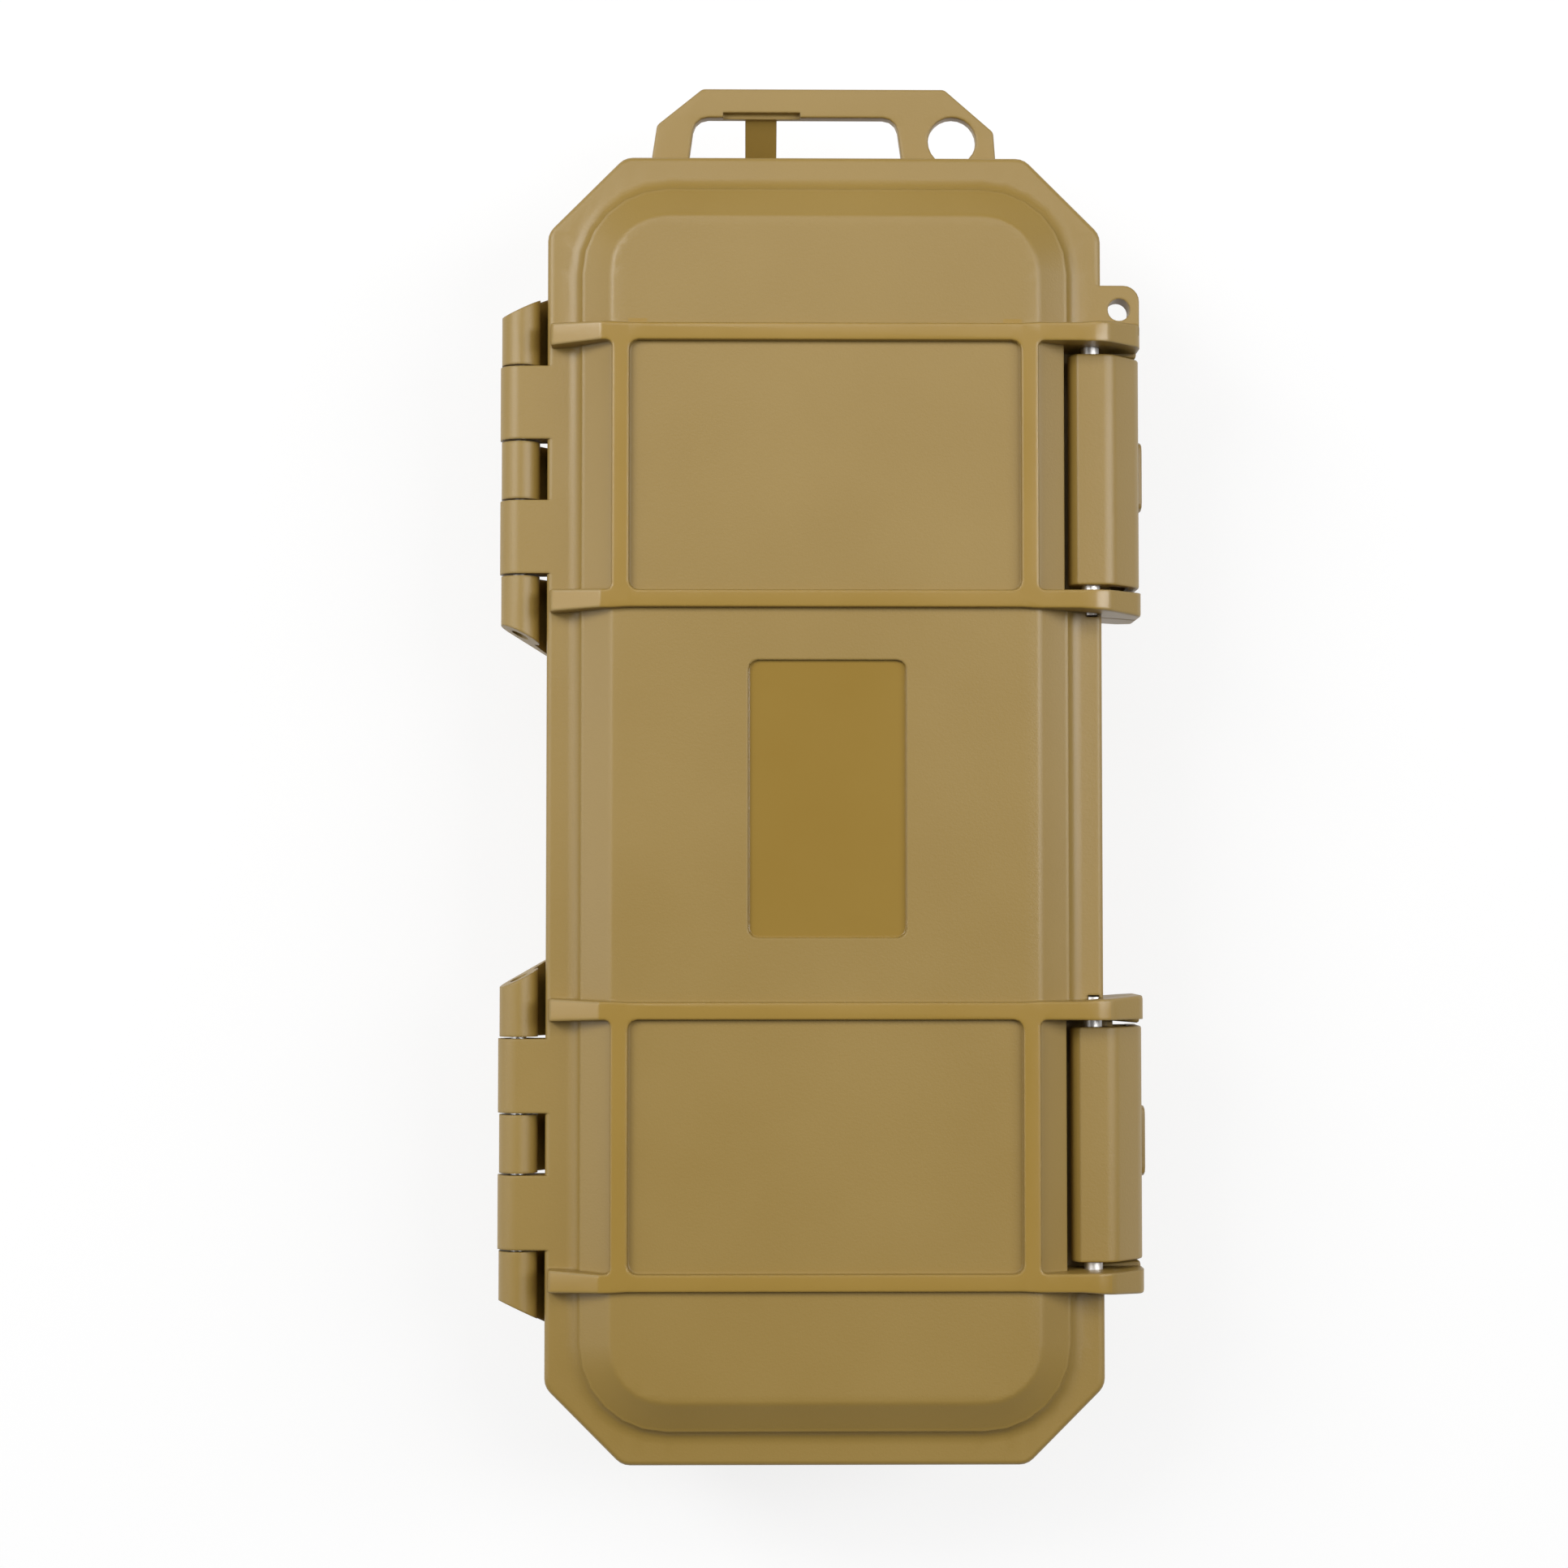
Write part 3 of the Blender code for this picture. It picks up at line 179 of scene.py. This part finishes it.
def plastic(name, light, dark, roughness, grain_size, grain_depth):
    material, tree, shader = new_material(name)
    clouds = object_noise(tree, CLOUD_SCALE)
    tone = remap(tree, clouds, low=0.0, high=1.0)
    tree.links.new(mix_colours(tree, tone, dark, light), shader.inputs["Base Color"])
    gloss = remap(tree, clouds, low=roughness - GLOSS_SPREAD, high=roughness + GLOSS_SPREAD)
    tree.links.new(gloss, shader.inputs["Roughness"])
    grain = object_noise(tree, 1.0 / grain_size, detail=2.0)
    add_bump(tree, shader, grain, strength=1.0, distance=grain_depth, edge=EDGE_ROUND)
    shader.inputs["Specular IOR Level"].default_value = 0.7
    return material


grained = plastic(
    "grained tan plastic",
    light=(0.302, 0.195, 0.042),
    dark=(0.288, 0.184, 0.038),
    roughness=0.43,
    grain_size=0.35 * MM,
    grain_depth=0.02 * MM,
)
polished = plastic(
    "polished tan plastic",
    light=(0.335, 0.208, 0.038),
    dark=(0.318, 0.197, 0.035),
    roughness=0.30,
    grain_size=1.2 * MM,
    grain_depth=0.01 * MM,
)
label_place = plastic(
    "label place plastic",
    light=(0.305, 0.192, 0.034),
    dark=(0.292, 0.180, 0.031),
    roughness=0.22,
    grain_size=2.5 * MM,
    grain_depth=0.02 * MM,
)
print("plastics:", ", ".join(look.name for look in (grained, polished, label_place)))

# %% [markdown]
# ## Drawn steel for the pins
# The pins are cut from drawn bar, and the die leaves fine scratches along them. An anisotropic
# shader could show that, but pins this thin need only a noise that is stretched along the pin. It
# drives both the roughness and a faint bump.

# %% Make the steel
SCRATCH_SCALE = 900.0
ALONG_PIN = (1.0, 0.02, 1.0)


def steel(name):
    material, tree, shader = new_material(name)
    lines = object_noise(tree, SCRATCH_SCALE, stretch=ALONG_PIN)
    tree.links.new(remap(tree, lines, low=0.34, high=0.50), shader.inputs["Roughness"])
    shader.inputs["Base Color"].default_value = (0.86, 0.85, 0.84, 1.0)
    shader.inputs["Metallic"].default_value = 1.0
    add_bump(tree, shader, lines, strength=0.3, distance=0.01 * MM)
    return material


pin_steel = steel("drawn steel")
print("metal:", pin_steel.name)

# %% [markdown]
# ## Rubber for the seal
# The seal is black rubber, dulled by dust and by talc from the mould. A plain black would look like
# a hole in the picture, so a noise moves both its tone and its roughness.

# %% Make the rubber
DUST_SCALE = 220.0


def rubber(name, black, dusty):
    material, tree, shader = new_material(name)
    dust = object_noise(tree, DUST_SCALE)
    tone = remap(tree, dust, low=0.0, high=1.0)
    tree.links.new(mix_colours(tree, tone, black, dusty), shader.inputs["Base Color"])
    tree.links.new(remap(tree, dust, low=0.45, high=0.6), shader.inputs["Roughness"])
    add_bump(tree, shader, dust, strength=0.3, distance=0.05 * MM)
    return material


seal_rubber = rubber("black seal rubber", (0.014, 0.014, 0.015), (0.030, 0.029, 0.028))
print("rubber:", seal_rubber.name)

# %% [markdown]
# ## Foam for the pads
# Closed-cell foam shows cut cells about half a millimetre wide. Cells could be cut into the mesh,
# but a Voronoi texture gives the same look: its distance to the nearest point is dark in the middle
# of a cell and pale at its walls, and the dark middles are painted shade in the hollows of the
# cells. A little sheen stands for the soft fringe of the walls.

# %% Make the foam
CELL = 0.5 * MM


def foam(name, hollow_shade, wall):
    material, tree, shader = new_material(name)
    place = add_node(tree, "ShaderNodeTexCoord")
    cells = add_node(tree, "ShaderNodeTexVoronoi", Scale=1.0 / CELL)
    tree.links.new(place.outputs["Object"], cells.inputs["Vector"])
    # The dark middle of each cell is painted shade, standing for the shade in the cell's hollow.
    cell_shade = remap(tree, cells.outputs["Distance"], low=0.0, high=1.0)
    tree.links.new(mix_colours(tree, cell_shade, hollow_shade, wall), shader.inputs["Base Color"])
    shader.inputs["Roughness"].default_value = 0.95
    shader.inputs["Sheen Weight"].default_value = 0.2
    add_bump(tree, shader, cells.outputs["Distance"], strength=0.8, distance=0.15 * MM)
    return material


pad_foam = foam("charcoal foam", (0.008, 0.008, 0.009), (0.045, 0.045, 0.047))
print("foam:", pad_foam.name)

# %% [markdown]
# ## Slice long faces
# A smooth shade is worked out at the corners of a face and blended across it. A long thin face
# therefore carries the shade of one end to the other, which shows as streaks beside a small round.
# Remeshing would cure that but soften every edge. Cutting the long faces into short ones keeps the
# shape, and the streak then dies out within one slice.

# %% Cut long faces into short ones
SLICE = 2.9 * MM
LONG = 9.0 * MM
SLIVER = 0.01 * MM


def reach(face, axis):
    places = [vert.co[axis] for vert in face.verts]
    return min(places), max(places)


def slice_long_faces(bm, low, high):
    """Cuts each face that is long in X, Y or Z by planes across that axis, one slice apart."""
    for axis in range(3):
        normal = Vector([axis == other for other in range(3)])
        spans = [(face, *reach(face, axis)) for face in bm.faces]
        faces = [face for face, start, end in spans if end - start > LONG]
        for step in range(1, int((high[axis] - low[axis]) / SLICE) + 1):
            place = low[axis] + step * SLICE
            faces = [face for face in faces if reach(face, axis)[1] > place]
            parts = dict.fromkeys(part for face in faces for part in (*face.verts, *face.edges, face))
            cut = bmesh.ops.bisect_plane(
                bm, geom=list(parts), dist=SLIVER, plane_co=normal * place, plane_no=normal
            )
            faces = [part for part in cut["geom"] if isinstance(part, bmesh.types.BMFace)]


print("faces over %.0f mm are cut every %.1f mm" % (LONG / MM, SLICE / MM))

# %% [markdown]
# ## Clean a CAD mesh
# The CAD meshes come in as loose triangles, which smooth shading would show. They could be used as
# they are with flat shading, but rounds would then look cut from card. So each mesh is copied, its
# points that coincide are merged, slivers thinner than a hundredth of a millimetre are closed, and
# its flat faces are joined again. The normals stored with the model no longer fit the new faces, so
# they are dropped.

# %% Copy and clean a mesh
MERGE = 0.001 * MM
FLAT_ANGLE = math.radians(0.3)


def clean_mesh(node, title, sliced):
    mesh = nodes[node].data.copy()
    mesh.name = title
    bm = bmesh.new()
    bm.from_mesh(mesh)
    bmesh.ops.remove_doubles(bm, verts=bm.verts, dist=MERGE)
    bmesh.ops.dissolve_degenerate(bm, dist=SLIVER, edges=bm.edges)
    bmesh.ops.dissolve_limit(bm, angle_limit=FLAT_ANGLE, verts=bm.verts, edges=bm.edges)
    if sliced:
        slice_long_faces(bm, *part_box(node))
    bmesh.ops.dissolve_degenerate(bm, dist=SLIVER, edges=bm.edges)
    bm.to_mesh(mesh)
    bm.free()
    if "custom_normal" in mesh.attributes:
        mesh.attributes.remove(mesh.attributes["custom_normal"])
    return mesh


print("CAD triangles in all:", sum(len(node.data.polygons) for node in nodes.values()))

# %% [markdown]
# ## Show a piece for each node
# Faces that meet at a small angle belong to one round surface, so they are shaded as one, and
# sharper edges stay sharp. The normals are weighted by area: the large flat faces stay flat, and
# the small faces of a round bend the shade between them. Each piece then rides on the body that its
# node belongs to, so that it moves with that body's joint.

# %% Define the shown piece
SMOOTH_ANGLE = math.radians(35)
bodies = frame["record"]["behaviour"]["bodies"]
body_of = {node: body for body, members in bodies.items() for node in members}


def shown_piece(node, title, materials, sliced=False):
    mesh = clean_mesh(node, title, sliced)
    mesh.materials.clear()
    for material in materials:
        mesh.materials.append(material)
    mesh.shade_smooth()
    mesh.set_sharp_from_angle(angle=SMOOTH_ANGLE)
    piece = bpy.data.objects.new(title, mesh)
    bpy.context.scene.collection.objects.link(piece)
    weights = piece.modifiers.new("weights", "WEIGHTED_NORMAL")
    weights.keep_sharp = True
    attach(piece, body_of[node])
    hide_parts(node)
    print("%s rides on %s, %d faces" % (title, body_of[node], len(mesh.polygons)))
    return piece


print("bodies:", ", ".join(bodies))

# %% [markdown]
# ## The two shells
# The base and the lid are large mouldings with long flat faces beside small rounds, so both are
# sliced. The small pieces show no streaks and stay unsliced, which saves triangles. The lid takes
# all three plastics, and a later step spreads them over its faces.

# %% Show the shells
shown_piece("base_shell", "deep_base", [grained], sliced=True)
lid = shown_piece("lid_shell", "shallow_lid", [grained, polished, label_place], sliced=True)

# %% [markdown]
# ## The latches, the pins and the pads
# Both latches come from one mould, and the pins from one bar, so loops over their names make them.
# The foam pads are soft blocks. They could be drawn sagging, but closed-cell foam keeps its shape,
# so they stay full.

# %% Show the small pieces
for word in ("upper", "lower"):
    shown_piece("latch_" + word, word + "_latch", [grained])
for kind in ("latch", "hinge"):
    for word in ("upper", "lower"):
        shown_piece(kind + "_pin_" + word, word + "_" + kind + "_pin", [pin_steel])
for word in ("lid", "base"):
    pad = shown_piece(word + "_foam", word + "_foam_pad", [pad_foam])

# %% [markdown]
# ## Name the seal's sizes
# The seal is a round cord that lies along a rounded rectangle in the lid's groove. A bevelled curve
# would do, but a tree of Geometry Nodes keeps every size as a named input. A modifier finds an
# input by its identifier, not by its name, so both are noted down.

# %% Start a tree with named inputs
def tree_with_inputs(title, kinds):
    """Starts a tree of Geometry Nodes; kinds gives the kind of each input by its name."""
    tree = bpy.data.node_groups.new(title, "GeometryNodeTree")
    keys = {}
    for name, kind in kinds.items():
        keys[name] = tree.interface.new_socket(name, socket_type="NodeSocket" + kind).identifier
    tree.interface.new_socket("Geometry", in_out="OUTPUT", socket_type="NodeSocketGeometry")
    return tree, keys


seal_sizes = dict.fromkeys(("Width", "Length", "Corner", "Cord Radius"), "Float")
seal_tree, seal_keys = tree_with_inputs("seal ring", {**seal_sizes, "Middle": "Vector", "Look": "Material"})
print("inputs of the seal's tree:", ", ".join(seal_keys))

# %% [markdown]
# ## Draw and sweep the seal
# The groove is a rectangle with round corners, so the cord's path is one too, and its section is a
# circle. A ready-made torus could be stretched to fit, but its cord would stretch with it. Sweeping
# the circle along the path keeps the cord the same all round.

# %% Add the nodes of the seal
CORNER_STEPS = 12
CORD_SIDES = 16


def rounded_path(tree, given):
    path = add_node(tree, "GeometryNodeCurvePrimitiveQuadrilateral")
    tree.links.new(given["Width"], path.inputs["Width"])
    tree.links.new(given["Length"], path.inputs["Height"])
    corners = add_node(tree, "GeometryNodeFilletCurve", mode="POLY", Count=CORNER_STEPS)
    tree.links.new(path.outputs["Curve"], corners.inputs["Curve"])
    tree.links.new(given["Corner"], corners.inputs["Radius"])
    return corners.outputs["Curve"]


def swept_cord(tree, given, path):
    section = add_node(tree, "GeometryNodeCurvePrimitiveCircle", Resolution=CORD_SIDES)
    tree.links.new(given["Cord Radius"], section.inputs["Radius"])
    sweep = add_node(tree, "GeometryNodeCurveToMesh")
    tree.links.new(path, sweep.inputs["Curve"])
    tree.links.new(section.outputs["Curve"], sweep.inputs["Profile Curve"])
    place = add_node(tree, "GeometryNodeTransform")
    tree.links.new(sweep.outputs["Mesh"], place.inputs["Geometry"])
    tree.links.new(given["Middle"], place.inputs["Translation"])
    return place.outputs["Geometry"]


def dress_and_finish(tree, given, shape):
    real = add_node(tree, "GeometryNodeRealizeInstances")
    tree.links.new(shape, real.inputs["Geometry"])
    dress = add_node(tree, "GeometryNodeSetMaterial")
    tree.links.new(real.outputs["Geometry"], dress.inputs["Geometry"])
    tree.links.new(given["Look"], dress.inputs["Material"])
    out = add_node(tree, "NodeGroupOutput")
    tree.links.new(dress.outputs["Geometry"], out.inputs["Geometry"])


given = add_node(seal_tree, "NodeGroupInput").outputs
cord = swept_cord(seal_tree, given, rounded_path(seal_tree, given))
dress_and_finish(seal_tree, given, cord)
print("the seal's tree has", len(seal_tree.nodes), "nodes")

# %% [markdown]
# ## Run the seal's tree
# A modifier runs the tree on an empty mesh. It could stay on the piece, but the export drops live
# trees, so the result is copied to a plain mesh and the maker object is thrown away. The sizes come
# from the seal's own box: its height is the thickness of the cord.

# %% Make the seal
SEAL_CORNER = 10.9 * MM


def made_by(tree, keys, title, values):
    """Runs a tree of nodes on an empty mesh and keeps the result as a plain mesh."""
    maker = bpy.data.objects.new(title + "_maker", bpy.data.meshes.new(title + "_maker"))
    bpy.context.scene.collection.objects.link(maker)
    modifier = maker.modifiers.new("maker", "NODES")
    modifier.node_group = tree
    for name, value in values.items():
        modifier[keys[name]] = value
    graph = bpy.context.evaluated_depsgraph_get()
    mesh = bpy.data.meshes.new_from_object(maker.evaluated_get(graph), depsgraph=graph)
    bpy.data.objects.remove(maker, do_unlink=True)
    piece = bpy.data.objects.new(title, mesh)
    bpy.context.scene.collection.objects.link(piece)
    mesh.shade_smooth()
    return piece


seal_low, seal_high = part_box("lid_seal")
seal_size = seal_high - seal_low
values = {
    "Width": seal_size.x - seal_size.z,
    "Length": seal_size.y - seal_size.z,
    "Corner": SEAL_CORNER,
    "Cord Radius": seal_size.z / 2,
    "Middle": (seal_low + seal_high) / 2,
    "Look": seal_rubber,
}
seal = made_by(seal_tree, seal_keys, "seal_ring", values)
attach(seal, body_of["lid_seal"])
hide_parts("lid_seal")
print("seal cord %.2f mm thick, %d faces" % (seal_size.z / MM, len(seal.data.polygons)))

# %% [markdown]
# ## Polish the ribs and the label's place
# The mould's grain stops at the crests of the ribs and at the floor of the label's recess. A mask
# could be painted, but a face's place already tells what it is: it is polished if it looks up and
# lies on a rail, in one of the four bands of ribs, or on the floor of the recess.

# %% Pick the polished faces
UPWARD = 0.9
# Heights: the lid's flat face, the rails on it, the recess in it, and the lowest end of the ribs.
LID_FACE = rib_top - 1.2 * MM
RAIL_FOOT = LID_FACE + 0.1 * MM
LABEL_FLOOR = (LID_FACE - 0.7 * MM, LID_FACE - 0.5 * MM)
RIB_FOOT = rib_top - 5.5 * MM
# Each belt has two bands of ribs, this far from its middle and this wide to each side.
RIB_SPREAD = 20.75 * MM
RIB_HALF = 1.65 * MM
# The places of the three plastics in the lid's list of materials.
GRAINED_SLOT, POLISHED_SLOT, LABEL_SLOT = range(3)


def on_rib(centre):
    if centre.z < RIB_FOOT:
        return False
    return any(abs(abs(centre.y - belt) - RIB_SPREAD) < RIB_HALF for belt in belts)


def slot_of(face):
    if face.normal.z <= UPWARD:
        return GRAINED_SLOT
    if LABEL_FLOOR[0] < face.center.z < LABEL_FLOOR[1]:
        return LABEL_SLOT
    if face.center.z > RAIL_FOOT or on_rib(face.center):
        return POLISHED_SLOT
    return GRAINED_SLOT


for face in lid.data.polygons:
    face.material_index = slot_of(face)
for index, look in enumerate(lid.data.materials):
    count = sum(face.material_index == index for face in lid.data.polygons)
    print(look.name, "faces:", count)

# %% [markdown]
# ## The floor
# The case lies on plain white paper. White light bright enough to burn the shadows away would also
# bleach the tan plastic. So the paper glows a little by itself, but only for rays from the camera,
# from glossy surfaces and through clear ones: it looks white, also in reflections, and adds nothing
# to the soft light that falls on the case.

# %% Lay the floor
PAPER_GLOW = 0.8
PAPER_SIZE = 4.0
PAPER_DROP = 0.2 * MM


def white_paper(glow):
    material, tree, shader = new_material("white paper")
    shader.inputs["Base Color"].default_value = (0.95, 0.95, 0.95, 1.0)
    shader.inputs["Roughness"].default_value = 0.9
    rays = add_node(tree, "ShaderNodeLightPath")
    seen = rays.outputs["Is Camera Ray"]
    for kind in ("Is Glossy Ray", "Is Transmission Ray"):
        either = add_node(tree, "ShaderNodeMath", operation="MAXIMUM")
        tree.links.new(seen, either.inputs[0])
        tree.links.new(rays.outputs[kind], either.inputs[1])
        seen = either.outputs["Value"]
    light = add_node(tree, "ShaderNodeEmission", Color=(1.0, 1.0, 1.0, 1.0), Strength=1.0)
    mix = add_node(tree, "ShaderNodeMixShader")
    tree.links.new(remap(tree, seen, low=0.0, high=glow, start=0.0, end=1.0), mix.inputs["Fac"])
    tree.links.new(shader.outputs["BSDF"], mix.inputs[1])
    tree.links.new(light.outputs["Emission"], mix.inputs[2])
    tree.links.new(mix.outputs["Shader"], tree.nodes["Material Output"].inputs["Surface"])
    return material


bpy.ops.mesh.primitive_plane_add(size=PAPER_SIZE, location=(0, 0, -PAPER_DROP))
floor = bpy.context.object
floor.name = "floor"
floor.data.materials.append(white_paper(PAPER_GLOW))
print("floor %.0f m wide" % PAPER_SIZE)

# %% [markdown]
# ## The light
# In the photograph the slopes to the left and right are brighter than those at the two ends. So
# two tall soft boxes stand at the sides, halfway up. A weaker one is low on the left, and another
# hangs over the handle's end. A weak white world fills the shadows. One large lamp above would be
# simpler, but all the slopes would then look alike.

# %% Light the scene
LAMP_DISTANCE = 1.05
WORLD_LIGHT = 0.13
# Each lamp: its name, azimuth and elevation in degrees, width and height in metres, and watts.
LAMPS = (
    ("left box", 303, 48, 0.3, 0.6, 5.5),
    ("low left box", 270, 27, 0.3, 0.9, 2.2),
    ("right box", 78, 48, 0.3, 0.9, 6.1),
    ("top box", 0, 60, 0.9, 0.3, 2.3),
)


def lamp_place(azimuth, elevation):
    """A point on a dome round the case: azimuth 0 is at the handle's end, 90 at the latches."""
    turn, rise = math.radians(azimuth), math.radians(elevation)
    across = LAMP_DISTANCE * math.cos(rise)
    return Vector((across * math.sin(turn), across * math.cos(turn), LAMP_DISTANCE * math.sin(rise)))


def soft_box(name, place, width, height, power):
    """A rectangular lamp that faces the case."""
    light = bpy.data.lights.new(name, "AREA")
    light.shape = "RECTANGLE"
    light.size, light.size_y = width, height
    light.energy = power
    lamp = bpy.data.objects.new(name, light)
    bpy.context.scene.collection.objects.link(lamp)
    lamp.location = place
    lamp.rotation_euler = (-place).to_track_quat("-Z", "Y").to_euler()


world = bpy.context.scene.world or bpy.data.worlds.new("world")
bpy.context.scene.world = world
world.use_nodes = True
world.node_tree.nodes["Background"].inputs["Color"].default_value = (1.0, 1.0, 1.0, 1.0)
world.node_tree.nodes["Background"].inputs["Strength"].default_value = WORLD_LIGHT
for name, azimuth, elevation, width, height, power in LAMPS:
    soft_box(name, lamp_place(azimuth, elevation), width, height, power)
print("lamps: %d, %.1f W in all" % (len(LAMPS), sum(lamp[-1] for lamp in LAMPS)))

# %% [markdown]
# ## The camera
# The camera looks almost straight down from half a metre, a little to the foot end and the hinges'
# side of the middle. Its place was worked out from the outline in the photograph, where the higher
# parts are shifted outwards. An orthographic camera would lose that shift. The focal length is
# written as a share of the picture's width, so it holds for any sensor.

# %% Set the camera
CAMERA_PLACE = (-0.01222, -0.02338, 0.5083)
# The camera's three small turns, in radians.
CAMERA_TILT = 0.0434
CAMERA_PAN = 0.0128
CAMERA_ROLL = 0.0006
# The focal length over the picture's width, both in the photograph's pixels.
FOCAL_SHARE = 3750.3 / 1932

camera = bpy.data.cameras.new("camera")
camera.sensor_width = 36.0
camera.lens = FOCAL_SHARE * camera.sensor_width
view = bpy.data.objects.new("camera", camera)
bpy.context.scene.collection.objects.link(view)
tilt = Matrix.Rotation(-CAMERA_TILT, 4, "X")
pan = Matrix.Rotation(CAMERA_PAN, 4, "Y")
roll = Matrix.Rotation(-CAMERA_ROLL, 4, "Z")
view.matrix_world = Matrix.Translation(CAMERA_PLACE) @ (roll @ pan @ tilt).inverted()
bpy.context.scene.camera = view
bpy.context.scene.view_settings.view_transform = "Standard"
print("camera %.2f m up, lens %.1f mm" % (CAMERA_PLACE[2], camera.lens))
